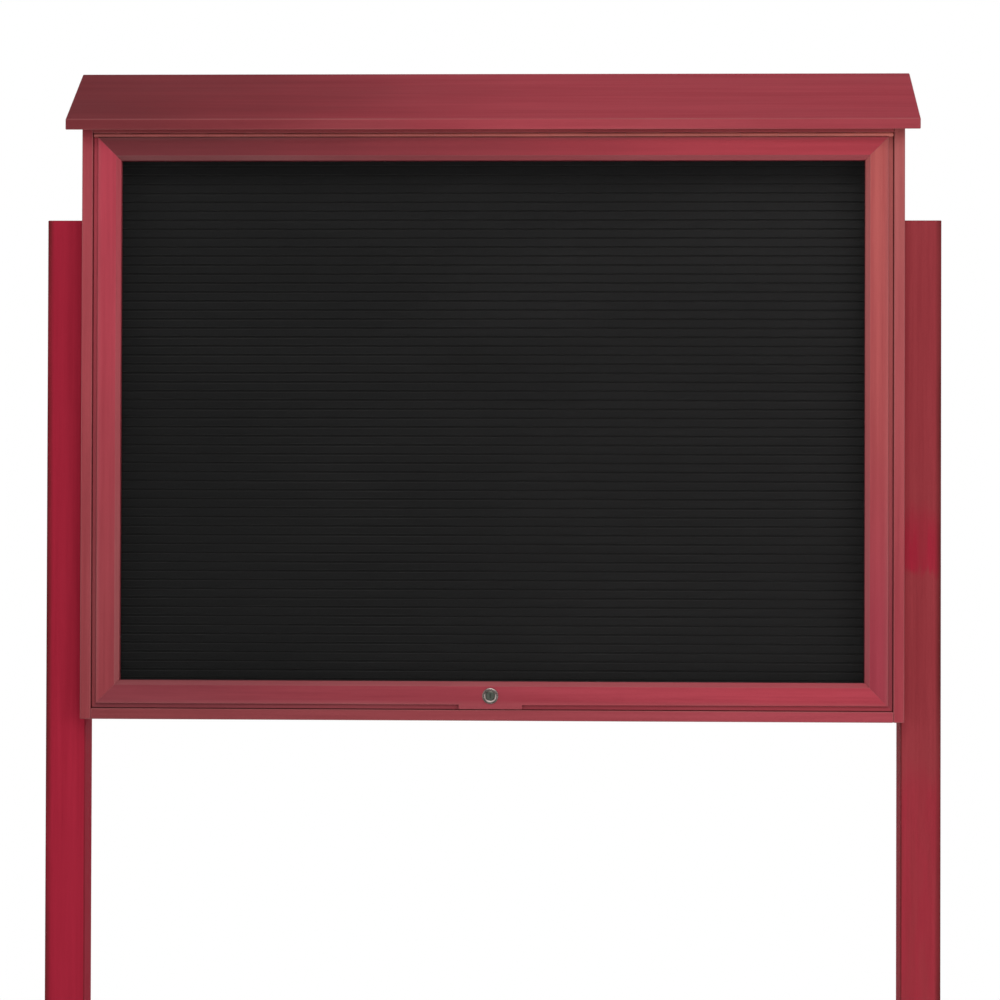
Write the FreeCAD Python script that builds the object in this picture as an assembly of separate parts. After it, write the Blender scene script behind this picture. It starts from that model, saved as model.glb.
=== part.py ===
import FreeCAD, Part
import math
import os

# Lockable notice board on two posts, in millimetres.
# X runs to the viewer's right, Y runs from the front to the back, Z is up.
# The origin lies on the ground line, midway between the posts, in the plane
# of their back faces, which is also the back of the case.

Vec = FreeCAD.Vector

# Case, a shallow box of plastic boards
case_width = 1143.0
case_depth = 101.6
board_thick = 15.0
back_panel_thick = 12.7
door_bay_height = 801.0

# Roof, one sloped board cut plumb at the eave and at the ridge
roof_side_reach = 17.5
roof_thick = 12.7
roof_slope = 31.7
roof_front_lift = 5.7
eave_reach = 34.0
front_cleat_setback = 2.0
front_cleat_depth = 50.0
back_cleat_depth = 25.0
back_cleat_edge = 15.0

# Posts, square plastic lumber, part of each set in the ground
post_side = 56.0
post_length = 2438.0
post_embed = 610.0
post_top_drop = 132.0
post_edge_ease = 2.0

# Bolts through each post into the case, their heads sunk in round recesses
bolts_per_post = 3
bolt_end = 90.0
bolt_radius = 4.0
bolt_hole_clear = 0.5
bolt_head_height = 5.3
bolt_head_flats = 13.0
bolt_nut_height = 6.5
bolt_tip = 1.5
washer_radius = 9.0
washer_thick = 1.6
bolt_recess_radius = 10.0
bolt_recess_depth = 8.0

# Door, four mitred members; behind the gap that shows round it, a tongue on the stiles
# and the bottom rail nearly fills the bay, and comes forward to the face at the lock
door_gap = 7.0
tongue_clear = 0.8
tongue_setback = 6.0
lock_pad_half = 44.0
frame_width = 32.0
frame_thick = 19.0
frame_bevel = 6.0
frame_ease = 1.5
rebate_width = 9.0
rebate_depth = 8.0
key_offset = 8.0
key_width = 12.0
key_reach = 40.0
key_thick = 3.0
key_depth = 4.0

# Window and what holds it in the rebate
pane_thick = 3.0
pane_edge_clear = 1.0
gasket_thick = 1.0
gasket_inset = 1.0
bead_chamfer = 1.5
bead_screw_end = 60.0
bead_screws_per_half = 2
bead_screws_per_stile = 3
bead_lock_clear = 150.0

# Full-width hinge along the top of the door
knuckle_radius = 2.5
knuckle_relief = 0.3
knuckle_count = 21
knuckle_end_gap = 0.4
hinge_pin_radius = 1.25
hinge_pin_clear = 0.05
leaf_thick = 1.2
leaf_depth = 16.0
hinge_end_clear = 1.0
hinge_screw_count = 7
hinge_screw_end = 53.0
door_open_angle = 80.0

# Stop battens behind the door, and their foam seal
stop_width = 20.0
stop_depth = 12.0
seal_gap = 3.0
seal_touch = 0.3
seal_width = 10.0
seal_inset = 1.0
lock_bay_half = 30.0

# Letter board with its grooves, and the board behind it
letter_board_side_gap = 11.5
letter_board_foot = 25.0
letter_board_head = 10.0
letter_board_thick = 10.0
backer_thick = 12.0
groove_pitch = 12.7
groove_width = 3.0
groove_depth = 3.5

# Cam lock in the bottom rail
lock_height = 12.5
lock_body_radius = 9.5
lock_hole_clear = 0.2
lock_end_clear = 0.2
lock_bezel_radius = 11.2
lock_bezel_height = 2.5
lock_plug_radius = 6.2
lock_plug_clear = 0.05
lock_plug_setback = 0.5
lock_nut_flats = 22.0
lock_nut_height = 2.8
keyway_width = 1.8
keyway_height = 7.5
keyway_depth = 7.0
cam_thick = 2.5
cam_length = 18.0
cam_half_width = 7.0
cam_screw_radius = 2.0
cam_screw_bite = 6.0
cam_screw_head = 4.5
cam_screw_head_height = 2.5

# Strike plate that the cam turns behind, its foot let into the bottom board
strike_thick = 2.0
strike_half_width = 20.0
strike_height = 6.5
strike_foot = 16.0
strike_screw_half = 12.0
cam_play = 0.8

# Stay arms that prop the open door
stay_stop_gap = 5.0
stay_pivot_gap = 2.5
stay_pivot_drop = 160.0
stay_catch_reach = 300.0
stay_arm_thick = 3.0
stay_arm_half_width = 8.0
stay_side_play = 0.3
stay_shoulder_radius = 4.0
stay_shoulder_clear = 0.05
stay_stud_radius = 7.0
stay_stud_head = 3.5
stay_thread_radius = 3.0
stay_thread_length = 12.0
catch_thick = 2.0
catch_half_width = 4.0
catch_lip = 3.0
catch_lip_reach = 6.6
catch_back_reach = 16.0
catch_screw_pitch = 11.0

# Countersunk screws: head radius and shank radius
board_screw = (4.0, 2.0)
small_screw = (3.0, 1.5)
bead_pin = (1.7, 1.0)
case_screw_length = 32.0
stop_screw_length = 30.0
letter_screw_length = 28.0
small_screw_length = 13.0
bead_screw_length = 19.0
cleat_bite = 16.0
roof_bite = 8.0
case_screw_inset = 18.0
screw_end = 60.0
letter_screw_inset = 10.0
letter_screw_end = 40.0
roof_screw_inset = 10.0
leaf_screw_inset = 9.6
screws_per_back_edge = 4
base_screw_count = 5
roof_screw_count = 5
screws_per_side_stop = 4
top_stop_screw_count = 5
screws_per_bottom_stop = 3
letter_screws_per_side = 4

# How far a cutting tool runs past the faces it cuts, and what counts as one place
cut_past = 1.0
same_place = 0.01

# Planes and levels worked out from the sizes above
front = -case_depth
case_half = case_width / 2
inner_half = case_half - board_thick
post_rise = door_bay_height + 2 * board_thick - post_top_drop
case_base = post_length - post_embed - post_rise
bay_base = case_base + board_thick
bay_top = bay_base + door_bay_height
header_top = bay_top + board_thick
back_panel_face = -back_panel_thick
roof_rise = math.tan(math.radians(roof_slope))
roof_plumb = roof_thick / math.cos(math.radians(roof_slope))

axis_y = front + knuckle_radius
axis_z = bay_top - knuckle_relief - knuckle_radius
door_half = inner_half - door_gap
door_base = bay_base + door_gap
tongue_reach = door_gap - tongue_clear
door_top = axis_z - knuckle_radius - knuckle_relief
door_back = front + frame_thick
window_half = door_half - frame_width
window_base = door_base + frame_width
window_top = door_top - frame_width
lip_back = door_back - rebate_depth
pane_front = lip_back + gasket_thick
pane_back = pane_front + pane_thick

stop_front = door_back + seal_gap
stop_back = stop_front + stop_depth
stop_inner = inner_half - stop_width
backer_face = back_panel_face - backer_thick
letter_face = backer_face - letter_board_thick
letter_board_half = inner_half - letter_board_side_gap
letter_base = case_base + letter_board_foot
letter_top = bay_top - letter_board_head

lock_z = door_base + lock_height
strike_back = stop_front + strike_thick
cam_front = strike_back + cam_play
cam_back = cam_front + cam_thick

stay_plane = stop_inner - stay_stop_gap
pivot_y = stop_back + stay_pivot_gap + stay_arm_half_width
pivot_z = axis_z - stay_pivot_drop
catch_z = axis_z - stay_catch_reach


def roof_under(y):
    return header_top + roof_front_lift + roof_rise * (y - front)


def roof_over(y):
    return roof_under(y) + roof_plumb


def block(x0, x1, y0, y1, z0, z1):
    return Part.makeBox(x1 - x0, y1 - y0, z1 - z0, Vec(x0, y0, z0))


def rod(start, direction, radius, length):
    return Part.makeCylinder(radius, length, Vec(*start), Vec(*direction))


def face_of(points):
    return Part.Face(Part.makePolygon([Vec(*p) for p in points + points[:1]]))


def prism_x(points, x0, x1):
    return face_of([(x0, y, z) for y, z in points]).extrude(Vec(x1 - x0, 0, 0))


def prism_y(points, y0, y1):
    return face_of([(x, y0, z) for x, z in points]).extrude(Vec(0, y1 - y0, 0))


def mirrored(shape):
    return shape.mirror(Vec(0, 0, 0), Vec(1, 0, 0))


def hexagon(start, direction, flats, height):
    corner = flats / math.sqrt(3)
    turn = [math.radians(60 * i) for i in range(6)]
    points = [Vec(corner * math.cos(a), corner * math.sin(a), 0) for a in turn]
    prism = Part.Face(Part.makePolygon(points + points[:1])).extrude(Vec(0, 0, height))
    prism.Placement = FreeCAD.Placement(Vec(*start), FreeCAD.Rotation(Vec(0, 0, 1), Vec(*direction)))
    return prism


def screw(head, direction, size, length):
    head_radius, shank_radius = size
    sink = head_radius - shank_radius
    start = Vec(*head)
    way = Vec(*direction)
    cone = Part.makeCone(head_radius, shank_radius, sink, start, way)
    shank = Part.makeCylinder(shank_radius, length - sink, start + way * sink, way)
    return cone.fuse(shank).removeSplitter()


def near(value, target):
    return abs(value - target) < same_place


def spread(first, last, count):
    return [first + (last - first) * i / (count - 1) for i in range(count)]


def save(node, *shapes):
    shape = shapes[0] if len(shapes) == 1 else Part.makeCompound(list(shapes))
    shape.exportStep("parts/" + node + ".step")


# Fasteners of the case: each solid also cuts its own hole
board_screws = []
for side in (-1, 1):
    for y in (front + case_screw_inset, back_panel_face - case_screw_inset):
        for z in (case_base + board_thick / 2, bay_top + board_thick / 2):
            board_screws.append(screw((side * case_half, y, z), (-side, 0, 0),
                                      board_screw, case_screw_length))
    for z in spread(bay_base + screw_end, bay_top - screw_end, screws_per_back_edge):
        board_screws.append(screw((side * case_half, -back_panel_thick / 2, z), (-side, 0, 0),
                                  board_screw, case_screw_length))
bottom_screws = [screw((x, -back_panel_thick / 2, case_base), (0, 0, 1), board_screw, case_screw_length)
                 for x in spread(screw_end - inner_half, inner_half - screw_end, base_screw_count)]
case_screws = board_screws + bottom_screws

roof_screw_xs = spread(screw_end - inner_half, inner_half - screw_end, roof_screw_count)
cleat_screw_xs = [(a + b) / 2 for a, b in zip(roof_screw_xs, roof_screw_xs[1:])]
front_cleat_front = front + front_cleat_setback
front_cleat_back = front_cleat_front + front_cleat_depth
front_roof_y = front_cleat_back - roof_screw_inset
front_roof_length = roof_under(front_roof_y) + roof_bite - bay_top
front_roof_screws = [screw((x, front_roof_y, bay_top), (0, 0, 1), board_screw, front_roof_length)
                     for x in roof_screw_xs]
back_cleat_front = back_panel_face - back_cleat_depth
back_cleat_base = roof_under(back_cleat_front) - back_cleat_edge
back_roof_y = back_panel_face - back_cleat_depth / 2
back_roof_length = roof_under(back_roof_y) + roof_bite - back_cleat_base
back_roof_screws = [screw((x, back_roof_y, back_cleat_base), (0, 0, 1), board_screw, back_roof_length)
                    for x in roof_screw_xs]
cleat_screws = [screw((x, 0, back_cleat_base + back_cleat_edge / 2), (0, -1, 0), board_screw,
                      back_panel_thick + cleat_bite) for x in cleat_screw_xs]
roof_screws = front_roof_screws + back_roof_screws + cleat_screws

stop_mid = (stop_front + stop_back) / 2
stop_screws = []
for z in spread(bay_base + screw_end, bay_top - screw_end, screws_per_side_stop):
    for side in (-1, 1):
        stop_screws.append(screw((side * stop_inner, stop_mid, z), (side, 0, 0),
                                 board_screw, stop_screw_length))
for x in spread(screw_end - stop_inner, stop_inner - screw_end, top_stop_screw_count):
    stop_screws.append(screw((x, stop_mid, bay_top - stop_width), (0, 0, 1), board_screw, stop_screw_length))
for x in spread(lock_bay_half + screw_end, stop_inner - screw_end, screws_per_bottom_stop):
    for side in (-1, 1):
        stop_screws.append(screw((side * x, stop_mid, bay_base + stop_width), (0, 0, -1),
                                 board_screw, stop_screw_length))

letter_screw_x = letter_board_half - letter_screw_inset
letter_screw_zs = spread(letter_base + letter_screw_end, letter_top - letter_screw_end,
                         letter_screws_per_side)
letter_screws = [screw((side * letter_screw_x, letter_face, z), (0, 1, 0), board_screw, letter_screw_length)
                 for side in (-1, 1) for z in letter_screw_zs]


def bolt_places():
    heights = spread(case_base + bolt_end, case_base + post_rise - bolt_end, bolts_per_post)
    return [(side, z) for side in (-1, 1) for z in heights]


def bolt_holes(side):
    radius = bolt_radius + bolt_hole_clear
    reach = post_side + board_thick
    recess_base = case_half + post_side - bolt_recess_depth
    tools = []
    for which, z in bolt_places():
        if which == side:
            tools.append(rod((side * inner_half, -post_side / 2, z), (side, 0, 0), radius, reach))
            tools.append(rod((side * recess_base, -post_side / 2, z), (side, 0, 0),
                             bolt_recess_radius, bolt_recess_depth))
    return tools


def cut_all(shape, tools):
    return shape.cut(Part.makeCompound(tools)) if tools else shape


# Posts
def post(side):
    base = block(case_half, case_half + post_side, -post_side, 0, -post_embed, post_length - post_embed)
    upright = [edge for edge in base.Edges if near(edge.Length, post_length)]
    eased = base.makeFillet(post_edge_ease, upright)
    if side < 0:
        eased = mirrored(eased)
    return cut_all(eased, bolt_holes(side))


save("left_post", post(-1))
save("right_post", post(1))

# Bolts, washers and nuts, three to a post
bolt_seat = case_half + post_side - bolt_recess_depth
bolts = []
washers = []
nuts = []
for side, z in bolt_places():
    inward = (-side, 0, 0)
    outer = side * bolt_seat
    hole = bolt_radius + bolt_hole_clear
    shank = washer_thick + bolt_seat - inner_half + washer_thick + bolt_nut_height + bolt_tip
    outer_face = outer + side * washer_thick
    inner_face = side * (inner_half - washer_thick)
    y = -post_side / 2
    head = hexagon((outer_face + side * bolt_head_height, y, z), inward, bolt_head_flats, bolt_head_height)
    bolts.append(head.fuse(rod((outer_face, y, z), inward, bolt_radius, shank)).removeSplitter())
    for face in (outer_face, side * inner_half):
        ring = rod((face, y, z), inward, washer_radius, washer_thick)
        washers.append(ring.cut(rod((face, y, z), inward, hole, washer_thick)))
    nut = hexagon((inner_face, y, z), inward, bolt_head_flats, bolt_nut_height)
    nuts.append(nut.cut(rod((inner_face, y, z), inward, bolt_radius, bolt_nut_height)))
save("post_bolts", *bolts)
save("post_washers", *washers)
save("post_nuts", *nuts)


# Case boards
def stay_stud(side):
    head_face = stay_plane - stay_arm_thick / 2 - stay_side_play
    seat_face = stay_plane + stay_arm_thick / 2 + stay_side_play
    y = pivot_y
    z = pivot_z
    head = rod((head_face - stay_stud_head, y, z), (1, 0, 0), stay_stud_radius, stay_stud_head)
    shoulder = rod((head_face, y, z), (1, 0, 0), stay_shoulder_radius, seat_face - head_face)
    spacer = rod((seat_face, y, z), (1, 0, 0), stay_stud_radius, inner_half - seat_face)
    thread = rod((inner_half, y, z), (1, 0, 0), stay_thread_radius, stay_thread_length)
    stud = head.fuse([shoulder, spacer, thread]).removeSplitter()
    return mirrored(stud) if side < 0 else stud


def side_board(side):
    outline = [(front, case_base), (0, case_base), (0, roof_under(0)), (front, roof_under(front))]
    panel = prism_x(outline, inner_half, case_half)
    if side < 0:
        panel = mirrored(panel)
    return cut_all(panel, bolt_holes(side) + board_screws + stop_screws + [stay_stud(side)])


save("left_side_board", side_board(-1))
save("right_side_board", side_board(1))

strike_screws = [screw((x, stop_front - strike_foot / 2, bay_base), (0, 0, -1),
                       small_screw, small_screw_length) for x in (-strike_screw_half, strike_screw_half)]
strike_outline = [(stop_front - strike_foot, bay_base - strike_thick), (strike_back, bay_base - strike_thick),
                  (strike_back, bay_base + strike_height), (stop_front, bay_base + strike_height),
                  (stop_front, bay_base), (stop_front - strike_foot, bay_base)]
strike = prism_x(strike_outline, -strike_half_width, strike_half_width)

bottom_board = block(-inner_half, inner_half, front, 0, case_base, bay_base)
save("bottom_board", cut_all(bottom_board, case_screws + stop_screws + strike_screws + [strike]))

hinge_half = inner_half - hinge_end_clear
hinge_screw_xs = spread(-hinge_half + hinge_screw_end, hinge_half - hinge_screw_end, hinge_screw_count)
leaf_screw_y = axis_y + leaf_screw_inset
case_leaf_screws = [screw((x, leaf_screw_y, bay_top - leaf_thick), (0, 0, 1),
                          small_screw, small_screw_length) for x in hinge_screw_xs]
door_leaf_screws = [screw((x, leaf_screw_y, door_top + leaf_thick), (0, 0, -1),
                          small_screw, small_screw_length) for x in hinge_screw_xs]

header_board = block(-inner_half, inner_half, front, back_panel_face, bay_top, header_top)
save("header_board", cut_all(header_board, board_screws + front_roof_screws + stop_screws + case_leaf_screws))

back_outline = [(back_panel_face, bay_base), (0, bay_base), (0, roof_under(0)),
                (back_panel_face, roof_under(back_panel_face))]
back_panel = prism_x(back_outline, -inner_half, inner_half)
save("back_panel", cut_all(back_panel, case_screws + cleat_screws + letter_screws))

# Roof board and the two cleats under it
eave = front - eave_reach
roof_half = case_half + roof_side_reach
roof_outline = [(eave, roof_under(eave)), (0, roof_under(0)), (0, roof_over(0)), (eave, roof_over(eave))]
roof_board = prism_x(roof_outline, -roof_half, roof_half)
save("roof_board", cut_all(roof_board, front_roof_screws + back_roof_screws))

front_cleat_outline = [(front_cleat_front, header_top), (front_cleat_back, header_top),
                       (front_cleat_back, roof_under(front_cleat_back)),
                       (front_cleat_front, roof_under(front_cleat_front))]
save("roof_front_cleat", cut_all(prism_x(front_cleat_outline, -inner_half, inner_half), front_roof_screws))

back_cleat_outline = [(back_cleat_front, back_cleat_base), (back_panel_face, back_cleat_base),
                      (back_panel_face, roof_under(back_panel_face)),
                      (back_cleat_front, roof_under(back_cleat_front))]
save("roof_back_cleat", cut_all(prism_x(back_cleat_outline, -inner_half, inner_half),
                                back_roof_screws + cleat_screws))
save("case_screws", *case_screws)
save("roof_screws", *roof_screws)

# Stop battens and the foam seal on them
left_stop = block(-inner_half, -stop_inner, stop_front, stop_back, bay_base, bay_top)
right_stop = block(stop_inner, inner_half, stop_front, stop_back, bay_base, bay_top)
top_stop = block(-stop_inner, stop_inner, stop_front, stop_back, bay_top - stop_width, bay_top)
bottom_stop = block(lock_bay_half, stop_inner, stop_front, stop_back, bay_base, bay_base + stop_width)
save("left_stop", cut_all(left_stop, stop_screws))
save("right_stop", cut_all(right_stop, stop_screws))
save("top_stop", cut_all(top_stop, stop_screws))
save("bottom_left_stop", cut_all(mirrored(bottom_stop), stop_screws))
save("bottom_right_stop", cut_all(bottom_stop, stop_screws))
save("stop_screws", *stop_screws)

seal_front = door_back + seal_touch
seal_outer = stop_inner + seal_inset + seal_width
side_seal = block(seal_outer - seal_width, seal_outer, seal_front, stop_front,
                  bay_base + stop_width, bay_top - stop_width)
top_seal_base = bay_top - stop_width + seal_inset
top_seal = block(-stop_inner, stop_inner, seal_front, stop_front, top_seal_base, top_seal_base + seal_width)
bottom_seal_top = bay_base + stop_width - seal_inset
bottom_seal = block(lock_bay_half, stop_inner, seal_front, stop_front,
                    bottom_seal_top - seal_width, bottom_seal_top)
save("door_seal", side_seal, mirrored(side_seal), top_seal, bottom_seal, mirrored(bottom_seal))


# Letter board: a comb of level grooves, screwed through its backing board
def letter_panel():
    count = int((letter_top - letter_base - groove_pitch) / groove_pitch)
    margin = (letter_top - letter_base - groove_pitch * (count - 1)) / 2
    points = [(letter_face, letter_base)]
    for index in range(count):
        low = letter_base + margin + index * groove_pitch - groove_width / 2
        points.append((letter_face, low))
        points.append((letter_face + groove_depth, low))
        points.append((letter_face + groove_depth, low + groove_width))
        points.append((letter_face, low + groove_width))
    points += [(letter_face, letter_top), (backer_face, letter_top), (backer_face, letter_base)]
    return prism_x(points, -letter_board_half, letter_board_half)


backer = block(-letter_board_half, letter_board_half, backer_face, back_panel_face, letter_base, letter_top)
save("letterboard_panel", cut_all(letter_panel(), letter_screws))
save("letterboard_backer", cut_all(backer, letter_screws))
save("letterboard_screws", *letter_screws)

# Strike plate: an angle with its foot under the door and its upright behind it
save("strike_plate", cut_all(strike, strike_screws))
save("strike_screws", *strike_screws)


# Hinge: two leaves with alternate knuckles on one pin
def hinge_leaf(seat, inner, first):
    pitch = 2 * hinge_half / knuckle_count
    low, high = sorted((seat, inner))
    leaf = block(-hinge_half, hinge_half, axis_y, axis_y + leaf_depth, low, high)
    relief = knuckle_radius + 2 * knuckle_relief
    solids = []
    notches = []
    for index in range(knuckle_count):
        start = -hinge_half + index * pitch
        if index % 2 == first:
            barrel = rod((start + knuckle_end_gap / 2, axis_y, axis_z), (1, 0, 0),
                         knuckle_radius, pitch - knuckle_end_gap)
            solids.append(barrel)
        else:
            notches.append(block(start - knuckle_end_gap / 2, start + pitch + knuckle_end_gap / 2,
                                 axis_y - relief, axis_y + relief, low - cut_past, high + cut_past))
    bore = rod((-hinge_half - cut_past, axis_y, axis_z), (1, 0, 0),
               hinge_pin_radius + hinge_pin_clear, 2 * (hinge_half + cut_past))
    return leaf.cut(Part.makeCompound(notches)).fuse(solids).cut(bore).removeSplitter()


case_leaf = hinge_leaf(bay_top, bay_top - leaf_thick, 0)
door_leaf = hinge_leaf(door_top, door_top + leaf_thick, 1)
save("hinge_case_leaf", cut_all(case_leaf, case_leaf_screws))
save("hinge_door_leaf", cut_all(door_leaf, door_leaf_screws))
save("hinge_pin", rod((-hinge_half, axis_y, axis_z), (1, 0, 0), hinge_pin_radius, 2 * hinge_half))
save("hinge_case_screws", *case_leaf_screws)
save("hinge_door_screws", *door_leaf_screws)

# Door frame: each member is its moulded section, cut to a mitre at both ends
lip_depth = frame_thick - rebate_depth
inner_edge = [(frame_ease, 0), (frame_width - frame_bevel, 0), (frame_width, frame_bevel),
              (frame_width, lip_depth), (frame_width - rebate_width, lip_depth),
              (frame_width - rebate_width, frame_thick)]
plain_section = inner_edge + [(0, frame_thick), (0, frame_ease)]
tongued_section = inner_edge + [(-tongue_reach, frame_thick), (-tongue_reach, tongue_setback),
                                (0, tongue_setback), (0, frame_ease)]


def rail(outer, inward, section, reach):
    points = [(front + depth, outer + inward * width) for width, depth in section]
    half = door_half + reach
    bar = prism_x(points, -half, half)
    inner = outer + inward * frame_width
    edge = outer - inward * reach
    trim = [(-half, edge), (half, edge), (window_half, inner), (-window_half, inner)]
    return bar.common(prism_y(trim, front - cut_past, door_back + cut_past))


def lock_pad():
    points = [(frame_width / 2, 0), (frame_ease - tongue_reach, 0), (-tongue_reach, frame_ease),
              (-tongue_reach, tongue_setback), (frame_width / 2, tongue_setback)]
    return prism_x([(front + depth, door_base + width) for width, depth in points],
                   -lock_pad_half, lock_pad_half)


def stile(side):
    points = [(side * (door_half - width), front + depth) for width, depth in tongued_section]
    foot = door_base - tongue_reach
    bar = face_of([(x, y, foot) for x, y in points]).extrude(Vec(0, 0, door_top - foot))
    outer = side * door_half
    inner = side * window_half
    edge = side * (door_half + tongue_reach)
    trim = [(edge, foot), (inner, window_base), (inner, window_top), (outer, door_top), (edge, door_top)]
    return bar.common(prism_y(trim, front - cut_past, door_back + cut_past))


# Flat keys let into the mitres
def corner_key(side, outer, inward):
    a = key_offset
    b = key_offset + key_width
    c = key_offset + key_reach
    shape = [(a, a), (c, a), (c, b), (b, b), (b, c), (a, c)]
    points = [(side * (door_half - u), outer + inward * v) for u, v in shape]
    return prism_y(points, front + key_depth, front + key_depth + key_thick)


corner_keys = [corner_key(side, outer, inward) for side in (-1, 1)
               for outer, inward in ((door_base, 1), (door_top, -1))]
save("door_corner_keys", *corner_keys)

# Glazing beads lie in the rebate behind the pane; their screws run outwards into the frame
rebate_half = window_half + rebate_width
rebate_base = window_base - rebate_width
rebate_top = window_top + rebate_width
bead_mid = (pane_back + door_back) / 2


def chamfered(bead, test):
    edges = [edge for edge in bead.Edges if test(edge.CenterOfMass)]
    return bead.makeChamfer(bead_chamfer, edges)


top_bead = chamfered(block(-rebate_half, rebate_half, pane_back, door_back, window_top, rebate_top),
                     lambda p: near(p.y, door_back) and near(p.z, window_top))
bottom_bead = chamfered(block(-rebate_half, rebate_half, pane_back, door_back, rebate_base, window_base),
                        lambda p: near(p.y, door_back) and near(p.z, window_base))
right_bead = chamfered(block(window_half, rebate_half, pane_back, door_back, window_base, window_top),
                       lambda p: near(p.y, door_back) and near(p.x, window_half))

bead_screws = []
for side in (-1, 1):
    for x in spread(bead_lock_clear, window_half - bead_screw_end, bead_screws_per_half):
        bead_screws.append(screw((side * x, bead_mid, window_top), (0, 0, 1), bead_pin, bead_screw_length))
        bead_screws.append(screw((side * x, bead_mid, window_base), (0, 0, -1), bead_pin, bead_screw_length))
    for z in spread(window_base + bead_screw_end, window_top - bead_screw_end, bead_screws_per_stile):
        bead_screws.append(screw((side * window_half, bead_mid, z), (side, 0, 0),
                                 bead_pin, bead_screw_length))
save("glazing_bead_top", cut_all(top_bead, bead_screws))
save("glazing_bead_bottom", cut_all(bottom_bead, bead_screws))
save("glazing_bead_right", cut_all(right_bead, bead_screws))
save("glazing_bead_left", cut_all(mirrored(right_bead), bead_screws))
save("bead_screws", *bead_screws)

# Pane and the gasket strips in front of its edge
pane_half = rebate_half - pane_edge_clear
pane = block(-pane_half, pane_half, pane_front, pane_back,
             rebate_base + pane_edge_clear, rebate_top - pane_edge_clear)
save("window_pane", pane)
gasket_in = window_half + gasket_inset
gasket_out = rebate_half - gasket_inset
gasket_low = window_base - gasket_inset
gasket_high = window_top + gasket_inset
side_gasket = block(gasket_in, gasket_out, lip_back, pane_front, gasket_low, gasket_high)
top_gasket = block(-gasket_out, gasket_out, lip_back, pane_front, gasket_high, rebate_top - gasket_inset)
bottom_gasket = block(-gasket_out, gasket_out, lip_back, pane_front, rebate_base + gasket_inset, gasket_low)
save("glazing_gasket", side_gasket, mirrored(side_gasket), top_gasket, bottom_gasket)

# Cam lock: body and nut stay in the rail, plug, cam and screw turn together
lock_hole = rod((0, front, lock_z), (0, 1, 0), lock_body_radius + lock_hole_clear, frame_thick)
body_back = cam_front - lock_end_clear
bezel = rod((0, front - lock_bezel_height, lock_z), (0, 1, 0), lock_bezel_radius, lock_bezel_height)
rim = [edge for edge in bezel.Edges if near(edge.CenterOfMass.y, front - lock_bezel_height)]
bezel = bezel.makeFillet(lock_bezel_height / 2, rim)
barrel = rod((0, front, lock_z), (0, 1, 0), lock_body_radius, body_back - front)
plug_bore = rod((0, front - lock_bezel_height, lock_z), (0, 1, 0), lock_plug_radius + lock_plug_clear,
                body_back - front + lock_bezel_height)
lock_body = bezel.fuse(barrel).removeSplitter().cut(plug_bore)
save("lock_body", lock_body)
nut = hexagon((0, door_back, lock_z), (0, 1, 0), lock_nut_flats, lock_nut_height)
save("lock_nut", nut.cut(rod((0, door_back, lock_z), (0, 1, 0), lock_body_radius, lock_nut_height)))

plug_face = front - lock_bezel_height + lock_plug_setback
plug = rod((0, plug_face, lock_z), (0, 1, 0), lock_plug_radius, cam_front - plug_face)
keyway = block(-keyway_width / 2, keyway_width / 2, plug_face - cut_past, plug_face + keyway_depth,
               lock_z - keyway_height / 2, lock_z + keyway_height / 2)
cam_screw = rod((0, cam_front - cam_screw_bite, lock_z), (0, 1, 0),
                cam_screw_radius, cam_screw_bite + cam_thick)
cam_screw = cam_screw.fuse(rod((0, cam_back, lock_z), (0, 1, 0), cam_screw_head, cam_screw_head_height))
save("lock_plug", plug.cut(keyway).cut(cam_screw))
cam_bar = block(0, cam_length, cam_front, cam_back, lock_z - cam_half_width, lock_z + cam_half_width)
cam_eye = rod((0, cam_front, lock_z), (0, 1, 0), cam_half_width, cam_thick)
save("lock_cam", cam_bar.fuse(cam_eye).removeSplitter().cut(cam_screw))
save("lock_cam_screw", cam_screw.removeSplitter())

# Catch plates on the back of the stiles: a strip with a low lip at its lower end
catch_back = door_back + catch_thick
lip_back_face = catch_back + catch_lip
lip_top = catch_z - catch_lip_reach
catch_top = catch_z + catch_back_reach
catch_foot = lip_top - catch_thick
catch_outline = [(door_back, catch_top), (door_back, catch_foot), (lip_back_face, catch_foot),
                 (lip_back_face, lip_top), (catch_back, lip_top), (catch_back, catch_top)]
right_catch = prism_x(catch_outline, stay_plane - catch_half_width, stay_plane + catch_half_width)
catch_screws = [screw((side * stay_plane, catch_back, catch_z + rise), (0, -1, 0),
                      small_screw, small_screw_length)
                for side in (-1, 1) for rise in (0, catch_screw_pitch)]
save("stay_catches", cut_all(right_catch, catch_screws), cut_all(mirrored(right_catch), catch_screws))
save("stay_catch_screws", *catch_screws)

top_rail = rail(door_top, -1, plain_section, 0)
bottom_rail = rail(door_base, 1, tongued_section, tongue_reach).fuse(lock_pad()).removeSplitter()
save("door_top_rail", cut_all(top_rail, corner_keys + bead_screws + door_leaf_screws))
save("door_bottom_rail", cut_all(bottom_rail, corner_keys + bead_screws + [lock_hole]))
save("door_left_stile", cut_all(stile(-1), corner_keys + bead_screws + catch_screws))
save("door_right_stile", cut_all(stile(1), corner_keys + bead_screws + catch_screws))

# Stay arms hang from their studs; with the door open, the foot of each rests behind the catch's lip
open_turn = math.radians(door_open_angle)
seat_depth = catch_back - axis_y + stay_arm_half_width + stay_side_play
seat_y = seat_depth * math.cos(open_turn) - stay_catch_reach * math.sin(open_turn)
seat_z = -seat_depth * math.sin(open_turn) - stay_catch_reach * math.cos(open_turn)
arm_y = seat_y - (pivot_y - axis_y)
arm_z = seat_z - (pivot_z - axis_z)
arm_length = math.hypot(arm_y, arm_z)
arm_turn = math.degrees(math.atan2(-arm_y, -arm_z))


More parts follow.
